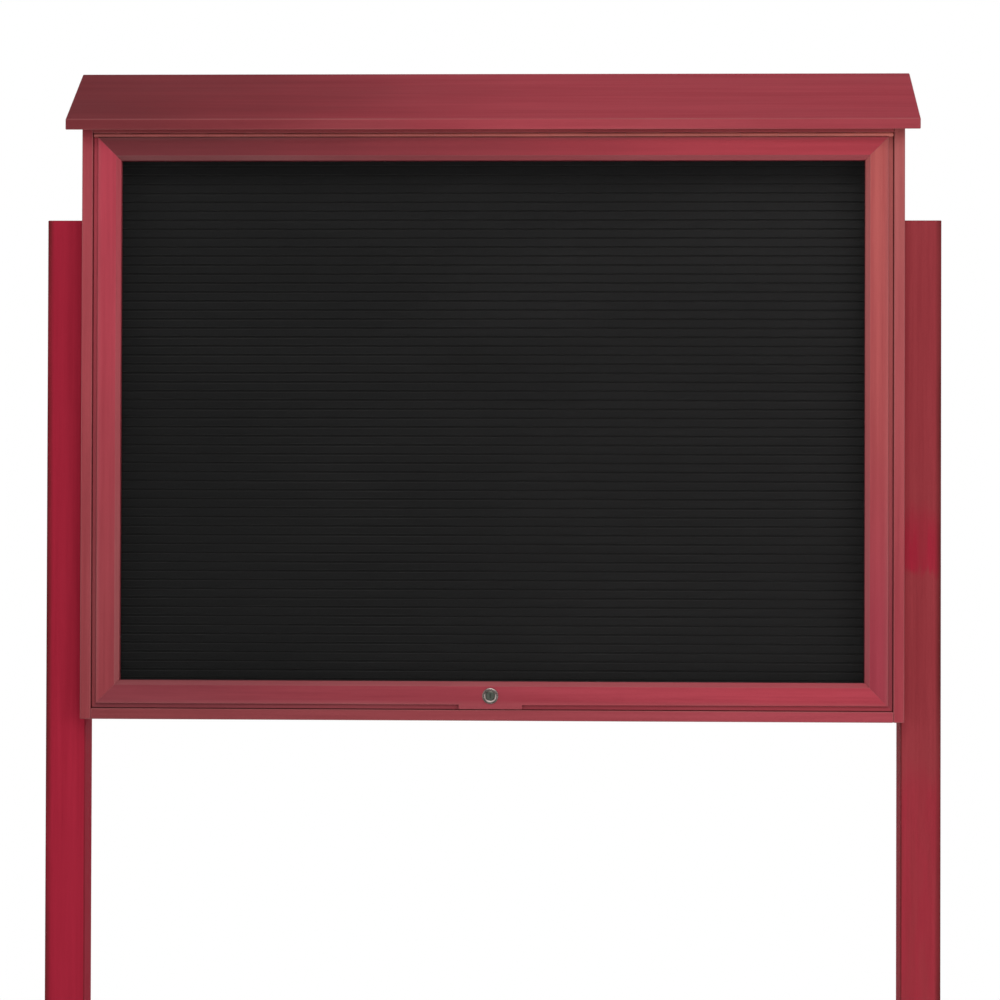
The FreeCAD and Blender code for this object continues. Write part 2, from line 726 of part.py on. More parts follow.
def stay_arm(side):
    inner = stay_plane - stay_arm_thick / 2
    bar = block(inner, inner + stay_arm_thick, pivot_y - stay_arm_half_width, pivot_y + stay_arm_half_width,
                pivot_z - arm_length, pivot_z)
    top = rod((inner, pivot_y, pivot_z), (1, 0, 0), stay_arm_half_width, stay_arm_thick)
    foot = rod((inner, pivot_y, pivot_z - arm_length), (1, 0, 0), stay_arm_half_width, stay_arm_thick)
    eye = rod((inner, pivot_y, pivot_z), (1, 0, 0),
              stay_shoulder_radius + stay_shoulder_clear, stay_arm_thick)
    arm = bar.fuse([top, foot]).removeSplitter().cut(eye)
    return mirrored(arm) if side < 0 else arm


save("left_stay_arm", stay_arm(-1))
save("right_stay_arm", stay_arm(1))
save("stay_pivot_studs", stay_stud(-1), stay_stud(1))

print("hinge axis y, z:", round(axis_y, 4), round(axis_z, 4))
print("lock centre z:", round(lock_z, 4))
print("stay pivot y, z:", round(pivot_y, 4), round(pivot_z, 4))
print("stay arm length, turn, ratio:", round(arm_length, 3), round(arm_turn, 4),
      round(arm_turn / door_open_angle, 6))
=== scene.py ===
import bmesh
import bpy
import math
from mathutils import Matrix, Vector


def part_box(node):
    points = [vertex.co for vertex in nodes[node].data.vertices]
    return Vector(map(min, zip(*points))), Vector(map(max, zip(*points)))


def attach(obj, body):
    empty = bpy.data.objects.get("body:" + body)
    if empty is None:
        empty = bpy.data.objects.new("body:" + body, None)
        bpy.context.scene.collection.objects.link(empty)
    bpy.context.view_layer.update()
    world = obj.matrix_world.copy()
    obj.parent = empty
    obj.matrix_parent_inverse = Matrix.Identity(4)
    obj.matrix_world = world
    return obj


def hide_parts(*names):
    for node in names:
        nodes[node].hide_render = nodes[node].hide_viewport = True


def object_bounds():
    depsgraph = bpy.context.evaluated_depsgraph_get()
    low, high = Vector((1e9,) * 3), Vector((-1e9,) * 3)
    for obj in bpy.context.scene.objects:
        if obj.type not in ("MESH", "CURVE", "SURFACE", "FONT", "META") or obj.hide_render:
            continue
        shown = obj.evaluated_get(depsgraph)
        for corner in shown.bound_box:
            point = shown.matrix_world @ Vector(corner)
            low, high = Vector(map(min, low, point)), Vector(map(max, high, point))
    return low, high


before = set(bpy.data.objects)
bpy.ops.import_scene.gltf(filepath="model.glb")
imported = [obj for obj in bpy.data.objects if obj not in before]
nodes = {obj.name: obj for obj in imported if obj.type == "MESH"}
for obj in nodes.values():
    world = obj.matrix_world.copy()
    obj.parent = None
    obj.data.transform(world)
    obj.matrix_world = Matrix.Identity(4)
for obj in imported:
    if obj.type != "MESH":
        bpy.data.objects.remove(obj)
cad_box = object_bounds()

# Posts
# Two lengths of square recycled-plastic lumber, moulded with rounded corners and sawn
# square at both ends. The lowest 610 mm of each stands in the ground. Round recesses in
# the outer faces take the heads of the bolts; the left post comes from a crimson batch.
post_corner = 0.002
end_ease = 0.0008
bolt_pitch = 0.2595
bolt_hole_radius = 0.0045
recess_radius = 0.010
recess_depth = 0.008
crimson = (163, 38, 58)
faded_rose = (153, 60, 66)
# Dark brown painted shade on the posts' rounded corners and near their outer corners.
post_edge_shade = (84, 32, 32)
# Pale greyish edge colour: wear on the eased edges, and painted highlight along them and on the
# bevels.
worn_and_highlit_edge = (150, 92, 92)
foot_shares = (0.97, 0.97, 0.97)
crimson_patch = (1.330, 1.345, 1.385, 1.440)
crimson_foot = (1.02, 1.08)
crimson_foot_share = 0.6
rim_width = 0.007
rim_sharpness = 6
post_rim = 1.25
post_rim_width = 0.010
# Painted shade: faces marked as shaded darken to this share and show less of the edge colour.
painted_shade_tone = 0.88
edge_paint_in_shade = 0.2
pattern_shift = (1.0, 0.37, 0.71)
facing = 0.99
sawn_facing = 0.8
sawn_area = 0.00001


def tone(red, green, blue):
    """A screen colour, 0 to 255, as the linear colour that a shader takes."""
    shares = [c / 255 for c in (red, green, blue)]
    linear = [s / 12.92 if s <= 0.04045 else ((s + 0.055) / 1.055) ** 2.4 for s in shares]
    return (*linear, 1.0)


def darker(colour, shares=(0.86, 0.74, 0.78)):
    """The colour with its red, green and blue scaled by these shares."""
    return tuple(c * s for c, s in zip(colour, shares))


def only(piece):
    """Selects this piece alone and makes it the active one."""
    bpy.ops.object.select_all(action="DESELECT")
    piece.select_set(True)
    bpy.context.view_layer.objects.active = piece


def cuboid(name, low, high):
    """A block with these lowest and highest corners, its place held in its mesh."""
    bpy.ops.object.select_all(action="DESELECT")
    low = Vector(low)
    high = Vector(high)
    bpy.ops.mesh.primitive_cube_add(size=1, location=(low + high) / 2, scale=high - low)
    bpy.ops.object.transform_apply(location=True, rotation=True, scale=True)
    piece = bpy.context.object
    piece.name = name
    return piece


def open_edit(piece, kind, test):
    """Opens the piece in edit mode with only the vertices, edges or faces that pass selected."""
    only(piece)
    bpy.ops.object.mode_set(mode="EDIT")
    bpy.ops.mesh.select_mode(type=kind)
    bpy.ops.mesh.select_all(action="DESELECT")
    mesh = bmesh.from_edit_mesh(piece.data)
    parts = {"VERT": mesh.verts, "EDGE": mesh.edges, "FACE": mesh.faces}[kind]
    for part in parts:
        if test(part):
            part.select_set(True)
    bmesh.update_edit_mesh(piece.data)


def close_edit():
    bpy.ops.object.mode_set(mode="OBJECT")


def everything(part):
    return True


def runs_along(edge, axis):
    """True for an edge that lies along this axis."""
    start, end = edge.verts
    return abs((end.co - start.co).normalized()[axis]) > facing


def corner(edge, least_turn=math.radians(25)):
    """True for an edge where two faces meet at an angle."""
    return edge.calc_face_angle(0) > least_turn


def ease(piece, width, test=corner, steps=2):
    """Rounds the edges that pass, as a router or the mould leaves them."""
    open_edit(piece, "EDGE", test)
    bpy.ops.mesh.bevel(offset=width, segments=steps, affect="EDGES", clamp_overlap=True)
    close_edit()


def carve(piece, tool):
    """Cuts the tool's shape out of the piece and takes the tool away."""
    cut = piece.modifiers.new("carve", "BOOLEAN")
    cut.operation = "DIFFERENCE"
    cut.solver = "EXACT"
    cut.object = tool
    only(piece)
    bpy.ops.object.modifier_apply(modifier=cut.name)
    bpy.data.objects.remove(tool)


def round_tool(start, way, radius, depth, sides=48):
    """A round cutter that begins at the start and runs along the way."""
    bpy.ops.object.select_all(action="DESELECT")
    way = Vector(way)
    bpy.ops.mesh.primitive_cylinder_add(vertices=sides, radius=radius, depth=depth,
                                        location=Vector(start) + way * depth / 2,
                                        rotation=way.to_track_quat("Z", "Y").to_euler())
    return bpy.context.object


def mark_faces(piece, name, test, value=1.0):
    """Gives the faces that pass this value in the attribute, which is 0 elsewhere."""
    mesh = piece.data
    mask = mesh.attributes.get(name) or mesh.attributes.new(name, "FLOAT", "CORNER")
    for face in mesh.polygons:
        if test(face):
            for corner_index in face.loop_indices:
                mask.data[corner_index].value = value


def mark_eased_edges(piece, widest=0.0013):
    """Marks the narrow strips that the easing made."""
    def narrow(face):
        points = [piece.data.vertices[i].co for i in face.vertices]
        rim = sum((a - b).length for a, b in zip(points, points[1:] + points[:1]))
        return 2 * face.area / rim < widest
    mark_faces(piece, "wear_and_painted_light", narrow)


def settle(piece, angle=40):
    """Smooths the eased edges and keeps the wide faces flat."""
    mark_eased_edges(piece)
    only(piece)
    bpy.ops.object.shade_smooth_by_angle(angle=math.radians(angle))
    weight = piece.modifiers.new("flat_faces", "WEIGHTED_NORMAL")
    weight.keep_sharp = True
    bpy.ops.object.modifier_apply(modifier=weight.name)


def new_group(name, inputs, outputs):
    """A shader node group with these sockets; inputs are (name, type, default)."""
    group = bpy.data.node_groups.new(name, "ShaderNodeTree")
    for socket, kind, default in inputs:
        made = group.interface.new_socket(name=socket, in_out="INPUT", socket_type=kind)
        if default is not None:
            made.default_value = default
    for socket, kind in outputs:
        group.interface.new_socket(name=socket, in_out="OUTPUT", socket_type=kind)
    return group, group.nodes.new("NodeGroupInput"), group.nodes.new("NodeGroupOutput")


def add(tree, kind, **settings):
    """A node with its settings; those named after a socket set or link that socket."""
    made = tree.nodes.new(kind)
    for key, value in settings.items():
        name = key.replace("_", " ")
        if hasattr(made, key) and name not in made.inputs:
            setattr(made, key, value)
        elif isinstance(value, bpy.types.NodeSocket):
            tree.links.new(value, made.inputs[name])
        else:
            made.inputs[name].default_value = value
    return made


def feed(tree, sockets, values):
    """Links or sets each socket to its value."""
    for socket, value in zip(sockets, values):
        if isinstance(value, bpy.types.NodeSocket):
            tree.links.new(value, socket)
        else:
            socket.default_value = value


def figure(tree, operation, first, second):
    """One step of arithmetic on two numbers or sockets."""
    made = add(tree, "ShaderNodeMath", operation=operation)
    feed(tree, made.inputs[:2], (first, second))
    return made.outputs[0]


def swing(tree, value, amount):
    """A value that runs about 0.5, turned into one that runs about 0."""
    return figure(tree, "MULTIPLY", figure(tree, "SUBTRACT", value, 0.5), amount)


def span(tree, value, low, high, to_low=0.0, to_high=1.0):
    """A soft step from one level to the other as the value goes from low to high."""
    made = add(tree, "ShaderNodeMapRange", Value=value, From_Min=low, From_Max=high,
               To_Min=to_low, To_Max=to_high, interpolation_type="SMOOTHSTEP")
    return made.outputs[0]


def mixed(tree, share, first, second):
    """Two colours, as sockets or values, mixed by a share."""
    made = add(tree, "ShaderNodeMix", data_type="RGBA")
    feed(tree, (made.inputs[0], made.inputs[6], made.inputs[7]), (share, first, second))
    return made.outputs[2]


def weighed(tree, *terms):
    """The sum of these values, each times its weight."""
    parts = [figure(tree, "MULTIPLY", value, weight) for value, weight in terms]
    total = parts[0]
    for part in parts[1:]:
        total = figure(tree, "ADD", total, part)
    return total


def object_place(tree):
    """The place on the piece, in metres, which every pattern reads."""
    return add(tree, "ShaderNodeTexCoord").outputs["Object"]


def coordinate(tree, place, axis):
    return add(tree, "ShaderNodeSeparateXYZ", Vector=place).outputs[axis]


def marked(tree, name):
    """What mark_faces wrote on the faces under this name."""
    return add(tree, "ShaderNodeAttribute", attribute_name=name).outputs["Fac"]


def noise(tree, vector, scale, detail):
    made = add(tree, "ShaderNodeTexNoise", Vector=vector, Scale=scale, Detail=detail)
    return made.outputs["Fac"]


def drawn_noise(tree, vector, stretch, scale, detail):
    """Noise drawn out along X by the stretch."""
    squeeze = add(tree, "ShaderNodeMapping", Vector=vector, Scale=(1 / stretch, 1, 1))
    return noise(tree, squeeze.outputs[0], scale, detail)


def make_lumber_skin():
    """Moulded recycled plastic: drawn-out bands and streaks, mottling, flecks, and edges in the
    edge colour, which stands for wear and paints a highlight on the boards and shade on the posts;
    marked faces also take painted shade.
    """
    group, entry, leave = new_group("lumber_skin", [
        ("Vector", "NodeSocketVector", None), ("Colour", "NodeSocketColor", None),
        ("Streak Colour", "NodeSocketColor", None), ("Streaks", "NodeSocketFloat", 0.6),
        ("Mottling", "NodeSocketFloat", 0.14), ("Wear And Painted Light", "NodeSocketFloat", 0.0),
        ("Edge Colour", "NodeSocketColor", None), ("Painted Shade", "NodeSocketFloat", 0.0),
        ("Plain Roughness", "NodeSocketFloat", 0.46)],
        [("Colour", "NodeSocketColor"), ("Roughness", "NodeSocketFloat"),
         ("Height", "NodeSocketFloat")])
    fleck_share = 0.3
    least_edge_paint = 0.3
    most_edge_paint = 0.6
    grain_tone = 0.14
    grain_sheen = 0.22
    cloud_sheen = 0.2
    edge_polish = 0.08
    given = entry.outputs
    vector = given["Vector"]
    streak_colour = given["Streak Colour"]
    edge_paint_mask = given["Wear And Painted Light"]
    bands = drawn_noise(group, vector, stretch=50, scale=70, detail=2)
    streaks = drawn_noise(group, vector, stretch=40, scale=260, detail=3)
    grain = drawn_noise(group, vector, stretch=25, scale=1300, detail=2)
    clouds = drawn_noise(group, vector, stretch=3.5, scale=13, detail=3)
    specks = noise(group, vector, scale=620, detail=1)
    lines = weighed(group, (span(group, bands, 0.34, 0.66), 0.6),
                    (span(group, streaks, 0.36, 0.68), 0.4))
    lined = mixed(group, figure(group, "MULTIPLY", lines, given["Streaks"]),
                  given["Colour"], streak_colour)
    flecked = mixed(group, span(group, specks, 0.66, 0.74, 0.0, fleck_share), lined, streak_colour)
    # Painted shade keeps the edge colour off the shaded faces.
    bare = span(group, given["Painted Shade"], 0.0, 1.0, 1.0, edge_paint_in_shade)
    # The edge colour on the marked faces: wear, with painted highlight where the edge colour is
    # lighter and painted shade where it is darker.
    edge_paint_share = figure(group, "MULTIPLY", figure(group, "MULTIPLY", edge_paint_mask, bare),
                    span(group, clouds, 0.3, 0.7, least_edge_paint, most_edge_paint))
    edge_painted = mixed(group, edge_paint_share, flecked, given["Edge Colour"])
    level = figure(group, "ADD", swing(group, clouds, given["Mottling"]),
                   swing(group, grain, grain_tone))
    # Painted shade: the marked faces darken towards the shade tone.
    painted_shade_level = span(group, given["Painted Shade"], 0.0, 1.0, 1.0, painted_shade_tone)
    shade = add(group, "ShaderNodeVectorMath", operation="SCALE", Vector=edge_painted,
                Scale=figure(group, "ADD", level, painted_shade_level))
    sheen = figure(group, "ADD", swing(group, grain, grain_sheen),
                   swing(group, clouds, cloud_sheen))
    sheen = figure(group, "SUBTRACT", sheen, figure(group, "MULTIPLY", edge_paint_mask, edge_polish))
    sheen = figure(group, "ADD", sheen, given["Plain Roughness"])
    height = weighed(group, (streaks, 0.5), (grain, 0.35), (specks, 0.15))
    for socket, value in (("Colour", shade.outputs[0]), ("Roughness", sheen), ("Height", height)):
        group.links.new(value, leave.inputs[socket])
    return group


lumber_skin = make_lumber_skin()


def start_material(name):
    material = bpy.data.materials.new(name)
    material.use_nodes = True
    tree = material.node_tree
    return material, tree, tree.nodes["Principled BSDF"]


def bump_into(tree, shader, height, distance, strength):
    bump = add(tree, "ShaderNodeBump", Height=height, Distance=distance, Strength=strength)
    tree.links.new(bump.outputs[0], shader.inputs["Normal"])


def lumber(name, piece, along, first, last, shift, streaks=0.6, mottling=0.14, gloss=0.28,
           rough=0.46, edge_colour=worn_and_highlit_edge, ramp_end=1.0):
    """The skin of one board and its grain, its colour running from the first to the last along the
    board's length; on the boards in view this run is painted light, darker at one end and lighter
    at the other.
    """
    material, tree, shader = start_material(name)
    place = object_place(tree)
    turn = (0, 0, 0) if along == 0 else (0, math.radians(90), 0)
    turned = add(tree, "ShaderNodeMapping", Vector=place, Rotation=turn,
                 Location=[shift * share for share in pattern_shift]).outputs[0]
    low = min(c[along] for c in piece.bound_box)
    high = max(c[along] for c in piece.bound_box)
    ramp_wobble = swing(tree, noise(tree, turned, scale=4, detail=2), amount=0.3)
    # How far along the board, for the run of colour that paints light.
    way = span(tree, figure(tree, "ADD", coordinate(tree, place, along), ramp_wobble),
               low, low + (high - low) * ramp_end)
    skin = add(tree, "ShaderNodeGroup", node_tree=lumber_skin)
    feed(tree, skin.inputs, (turned, mixed(tree, way, tone(*first), tone(*last)),
                             mixed(tree, way, tone(*darker(first)), tone(*darker(last))),
                             streaks, mottling, marked(tree, "wear_and_painted_light"), tone(*edge_colour),
                             marked(tree, "painted_shade"), rough))
    tree.links.new(skin.outputs["Colour"], shader.inputs["Base Color"])
    tree.links.new(skin.outputs["Roughness"], shader.inputs["Roughness"])
    shader.inputs["Specular IOR Level"].default_value = gloss
    bump_into(tree, shader, skin.outputs["Height"], distance=0.0004, strength=0.4)
    return material


def sawn(name, colour):
    """A sawn end: a foamed core with fine pores and the arcs of the saw."""
    arc_share = 0.3
    material, tree, shader = start_material(name)
    place = object_place(tree)
    pores = add(tree, "ShaderNodeTexVoronoi", Vector=place, Scale=700.0).outputs["Distance"]
    pits = span(tree, pores, 0.08, 0.3)
    arcs = add(tree, "ShaderNodeTexWave", Vector=place, Scale=180.0, Distortion=1.5,
               wave_type="RINGS")
    patches = noise(tree, place, scale=60, detail=3)
    core = span(tree, figure(tree, "MULTIPLY", pits, patches), 0.0, 0.6)
    tree.links.new(mixed(tree, core, tone(*darker(colour)), tone(*colour)),
                   shader.inputs["Base Color"])
    tree.links.new(span(tree, patches, 0.3, 0.7, 0.72, 0.86), shader.inputs["Roughness"])
    shader.inputs["Specular IOR Level"].default_value = 0.2
    depth = figure(tree, "ADD", figure(tree, "MULTIPLY", arcs.outputs["Fac"], arc_share), pits)
    bump_into(tree, shader, depth, distance=0.0005, strength=0.5)
    return material


def finish_board(piece, skin, end_skin, along, slot, *stood_for):
    """Lays the skin on the board and the sawn finish on its ends, and hides the parts that it
    stands for.
    """
    piece.data.materials.append(skin)
    piece.data.materials.append(end_skin)
    for face in piece.data.polygons:
        if abs(face.normal[along]) > sawn_facing and face.area > sawn_area:
            face.material_index = 1
    settle(piece)
    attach(piece, "case")
    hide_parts(*stood_for)


bolt_low, bolt_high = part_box("post_bolts")
bolt_middle = (bolt_low + bolt_high) / 2
bolt_levels = [bolt_middle.z + step * bolt_pitch for step in (-1, 0, 1)]


def drill_for_bolts(piece, near, far):
    """Bolt holes through the piece, from one X to the other."""
    for z in bolt_levels:
        carve(piece, round_tool((near, bolt_middle.y, z), (1, 0, 0), bolt_hole_radius, far - near))


def post_piece(name, side):
    """A post with its rounded corners, eased ends, recesses and bolt holes."""
    low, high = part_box(name)
    piece = cuboid(name + "_lumber", low, high)
    ease(piece, post_corner, lambda e: runs_along(e, 2), steps=4)
    ease(piece, end_ease, lambda e: corner(e) and not runs_along(e, 2))
    outer = high.x if side > 0 else low.x
    for z in bolt_levels:
        carve(piece, round_tool((outer - side * recess_depth, bolt_middle.y, z), (side, 0, 0),
                                recess_radius, recess_depth * 2))
    drill_for_bolts(piece, low.x - end_ease, high.x + end_ease)
    return piece


def skin_of(material):
    return next(n for n in material.node_tree.nodes if n.bl_idname == "ShaderNodeGroup")


def soft_rim(material, axis, edge, side, share=1.0, width=rim_width):
    """A mask that rises over the last few millimetres before an edge of the piece."""
    tree = material.node_tree
    way = coordinate(tree, object_place(tree), axis)
    return span(tree, way, edge - side * width, edge - side * width / rim_sharpness, 0.0, share)


def add_edge_paint(material, mask):
    """Adds the mask to where the edge colour is painted on the piece, for wear, painted highlight
    and painted shade.
    """
    tree = material.node_tree
    edge_painted = skin_of(material).inputs["Wear And Painted Light"]
    tree.links.new(figure(tree, "MAXIMUM", edge_painted.links[0].from_socket, mask), edge_painted)


def crimson_patches(material):
    """Lets the crimson batch show through in streaks at mid height and towards the foot."""
    tree = material.node_tree
    place = object_place(tree)
    squeeze = add(tree, "ShaderNodeMapping", Vector=place, Scale=(1, 1, 0.12))
    wisps = noise(tree, squeeze.outputs[0], scale=75, detail=2)
    height = figure(tree, "ADD", coordinate(tree, place, 2), swing(tree, wisps, amount=0.08))
    rise_low, rise_high, fall_low, fall_high = crimson_patch
    patch = figure(tree, "MULTIPLY", span(tree, height, rise_low, rise_high),
                   span(tree, height, fall_low, fall_high, 1.0, 0.0))
    foot = span(tree, height, *crimson_foot, crimson_foot_share, 0.0)
    share = figure(tree, "MULTIPLY", figure(tree, "MAXIMUM", patch, foot),
                   span(tree, wisps, 0.35, 0.6, 0.65, 1.0))
    colour = skin_of(material).inputs["Colour"]
    tree.links.new(mixed(tree, share, colour.links[0].from_socket, tone(*crimson)), colour)


for name, side, colour, shift in (("left_post", -1, crimson, 0.3),
                                  ("right_post", 1, faded_rose, 4.1)):
    post = post_piece(name, side)
    skin = lumber(name + "_skin", post, 2, darker(colour, foot_shares), colour, shift,
                  streaks=0.5, mottling=0.08, gloss=0.02, rough=0.7, edge_colour=post_edge_shade)
    if side > 0:
        crimson_patches(skin)
    low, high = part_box(name)
    # Painted shade: the post darkens to the edge colour near its outer front and back corners.
    outer_rim = soft_rim(skin, 0, high.x if side > 0 else low.x, side, post_rim, post_rim_width)
    face_rims = figure(skin.node_tree, "MAXIMUM", soft_rim(skin, 1, low.y, -1, post_rim),
                       soft_rim(skin, 1, high.y, 1, post_rim))
    add_edge_paint(skin, figure(skin.node_tree, "MULTIPLY", outer_rim, face_rims))
    finish_board(post, skin, sawn(name + "_end", colour), 2, "rosewood_post", name)

# Case
# Side, bottom, header and back boards of the same plastic, sawn from wider boards with
# their edges lightly eased and screwed at the corners. The side boards' tops are cut to
# the slope of the roof, and the bottom board is let in for the strike plate.
roof_slope = math.radians(31.7)
board_ease = 0.0012
flat_angle = math.radians(0.5)
same_place = 0.00001
merge_distance = 0.000001
rosewood = (148, 59, 67)
brown_rosewood = (134, 55, 62)
sawn_shares = (0.95, 0.95, 0.95)


def merged_copy(cad_node, name):
    """The node's solids in a new object, with their loose triangles joined into faces."""
    piece = bpy.data.objects.new(name, nodes[cad_node].data.copy())
    bpy.context.scene.collection.objects.link(piece)
    piece.data.materials.clear()
    open_edit(piece, "VERT", everything)
    bpy.ops.mesh.remove_doubles(threshold=merge_distance)
    bpy.ops.mesh.dissolve_limited(angle_limit=flat_angle)
    close_edit()
    return piece


def slope_top(piece):
    """Lowers the front of the board's top to the slope of the roof."""
    low = Vector(piece.bound_box[0])
    high = Vector(piece.bound_box[6])
    fall = math.tan(roof_slope) * (high.y - low.y)
    open_edit(piece, "VERT",
              lambda v: v.co.z > high.z - same_place and v.co.y < low.y + same_place)
    bpy.ops.transform.translate(value=(0, 0, -fall))
    close_edit()


def case_board(name, along, first, last, shift, sloped, *let_in):
    """A board of the case, with the places cut for what is screwed or let into it."""
    low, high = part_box(name)
    piece = cuboid(name + "_cut", low, high)
    if sloped:
        slope_top(piece)
    ease(piece, board_ease)
    for cad_node in let_in:
        carve(piece, merged_copy(cad_node, "let_in"))
    if along == 2:
        drill_for_bolts(piece, low.x - board_ease, high.x + board_ease)
    skin = lumber(name + "_skin", piece, along, first, last, shift, gloss=0.12, rough=0.54)
    finish_board(piece, skin, case_end, along, "rosewood_board", name)


case_end = sawn("case_board_end", darker(rosewood, sawn_shares))
# Painted light: the side boards lighten towards the top, the right one also greyer, and the bottom
# and header boards lighten to the right; the header is painted lighter against the shade under the
# eave.
case_board("left_side_board", 2, (147, 64, 69), (166, 70, 78), 1.7, True, "case_screws")
case_board("right_side_board", 2, (164, 66, 75), (174, 94, 92), 6.3, True, "case_screws")
case_board("bottom_board", 0, (135, 63, 66), (165, 68, 78), 2.2, False, "case_screws",
           "strike_plate")
case_board("header_board", 0, (156, 72, 75), (176, 79, 83), 5.1, False, "roof_screws")
case_board("back_panel", 0, rosewood, rosewood, 7.9, True, "roof_screws")

# Roof
# One board laid to the slope, sawn plumb at the eave and at the ridge. It overhangs the
# front and both sides and is screwed from below through two cleats, so no screw shows.
roof_thick = 0.0127
# Painted light: the roof runs from dark at the left to light at the right, over the first 0.6 of
# its length.
roof_left = (118, 44, 50)
roof_right = (170, 65, 76)
eave_painted_shade = 0.6
eave_painted_sheen = 0.6


def faces_front(face):
    return face.normal.y < -facing


low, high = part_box("roof_board")
plumb = roof_thick / math.cos(roof_slope)
roof = cuboid("roof_board_cut", low, (high.x, high.y, low.z + plumb))
rise = math.tan(roof_slope) * (high.y - low.y)
open_edit(roof, "VERT", lambda v: v.co.y > high.y - same_place)
bpy.ops.transform.translate(value=(0, 0, rise))
close_edit()
ease(roof, board_ease, steps=3)
skin = lumber("roof_skin", roof, 0, roof_left, roof_right, 3.3, gloss=0.06, rough=0.62,
              ramp_end=0.6)
# Painted shade and painted sheen on the plumb-cut front face at the eave.
mark_faces(roof, "painted_shade", faces_front, eave_painted_shade)
mark_faces(roof, "wear_and_painted_light", faces_front, eave_painted_sheen)
finish_board(roof, skin, sawn("roof_end", brown_rosewood), 0, "rosewood_roof", "roof_board")


def dress(cad_node, material):
    """A node whose shape is right keeps it and gets its real finish."""
    mesh = nodes[cad_node].data
    mesh.materials.clear()
    mesh.materials.append(material)


for cleat, shift in (("roof_front_cleat", 8.8), ("roof_back_cleat", 9.1)):
    dress(cleat, lumber(cleat + "_skin", nodes[cleat], 0, rosewood, brown_rosewood, shift))

# Screws
# Stainless countersunk screws with a six-point socket, driven just below the face of the
# plastic or of the metal that they hold.
board_head = 0.004
small_head = 0.003
bead_head = 0.0017
head_sink = 0.00025
head_rim = 0.0002
head_points = 11
head_fill = (0.9, 1.01)
head_roundness = 0.05
socket_share = 0.52
socket_depth = 0.0016
socket_wall = 0.00005
socket_points = 6
socket_mean = 0.82
socket_wave = 0.18
stain_share = 0.86


def brushed(name, colour, roughness, scale=900.0):
    """Steel with fine scratches that vary its shine, and faint stains."""
    material, tree, shader = start_material(name)
    place = object_place(tree)
    scratches = drawn_noise(tree, place, 20, scale, detail=3)
    stains = noise(tree, place, scale=70, detail=2)
    tree.links.new(figure(tree, "ADD", swing(tree, scratches, amount=0.25), roughness),
                   shader.inputs["Roughness"])
    stained = tone(*[c * stain_share for c in colour])
    tree.links.new(mixed(tree, span(tree, stains, 0.35, 0.65), tone(*colour), stained),
                   shader.inputs["Base Color"])
    shader.inputs["Metallic"].default_value = 1.0
    bump_into(tree, shader, scratches, distance=0.00005, strength=0.25)
    return material


screw_steel = brushed("screw_steel", (190, 188, 184), 0.34)


def socket_heads(piece, radius):
    """Sinks each round head of this radius and cuts a six-point socket in it."""
    area = math.pi * radius ** 2

    def head(face):
        fill = face.calc_area() / area
        if len(face.verts) < head_points or not head_fill[0] < fill < head_fill[1]:
            return False
        centre = face.calc_center_median()
        return all(abs((v.co - centre).length / radius - 1) < head_roundness for v in face.verts)
    open_edit(piece, "FACE", head)
    bpy.ops.mesh.inset(thickness=head_rim, depth=-head_sink, use_individual=True)
    bpy.ops.mesh.inset(thickness=radius * (1 - socket_share), use_individual=True)
    mesh = bmesh.from_edit_mesh(piece.data)
    for face in [f for f in mesh.faces if f.select]:
        centre = face.calc_center_median()
        ring = list(face.verts)
        for place, vertex in enumerate(ring):
            wave = math.cos(socket_points * math.tau * place / len(ring))
            vertex.co = centre + (vertex.co - centre) * (socket_mean + socket_wave * wave)
    bmesh.update_edit_mesh(piece.data)
    bpy.ops.mesh.inset(thickness=socket_wall, depth=-socket_depth, use_individual=True)
    close_edit()


def finish_metal(piece, cad_node, body, material, angle):
    """Gives the metal piece its finish, smooths it and hides the part that it stands for."""
    piece.data.materials.append(material)
    only(piece)
    bpy.ops.object.shade_smooth_by_angle(angle=math.radians(angle))
    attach(piece, body)
    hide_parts(cad_node)


def driven_screws(cad_node, radius, body):
    """The screws of one node, their heads sunk and socketed."""
    piece = merged_copy(cad_node, cad_node + "_driven")
    socket_heads(piece, radius)
    finish_metal(piece, cad_node, body, screw_steel, angle=35)


for cad_node in ("case_screws", "roof_screws", "stop_screws", "letterboard_screws"):
    driven_screws(cad_node, board_head, "case")
for cad_node in ("hinge_case_screws", "strike_screws"):
    driven_screws(cad_node, small_head, "case")
for cad_node in ("hinge_door_screws", "stay_catch_screws"):
    driven_screws(cad_node, small_head, "door")
driven_screws("bead_screws", bead_head, "door")

# Bolts
# Three stainless hexagon bolts hold each post to its side board, with a washer under the
# head, sunk in the post, and under the nut inside the case.
hardware_ease = 0.0004


def eased_hardware(cad_node, body, material, width=hardware_ease):
    """A small metal piece with its sharp edges broken."""
    piece = merged_copy(cad_node, cad_node + "_fitted")
    ease(piece, width)
    finish_metal(piece, cad_node, body, material, angle=40)


for cad_node in ("post_bolts", "post_washers", "post_nuts"):
    eased_hardware(cad_node, "case", screw_steel)

# Stops and seal
# Battens screwed inside the case, a little behind the door, carry a black foam seal
# that the closed door just meets.
for stop, along, shift in (("left_stop", 2, 9.4), ("right_stop", 2, 9.7), ("top_stop", 0, 9.9),
                           ("bottom_left_stop", 0, 10.3), ("bottom_right_stop", 0, 10.6)):
    dress(stop, lumber(stop + "_skin", nodes[stop], along, rosewood, brown_rosewood, shift))


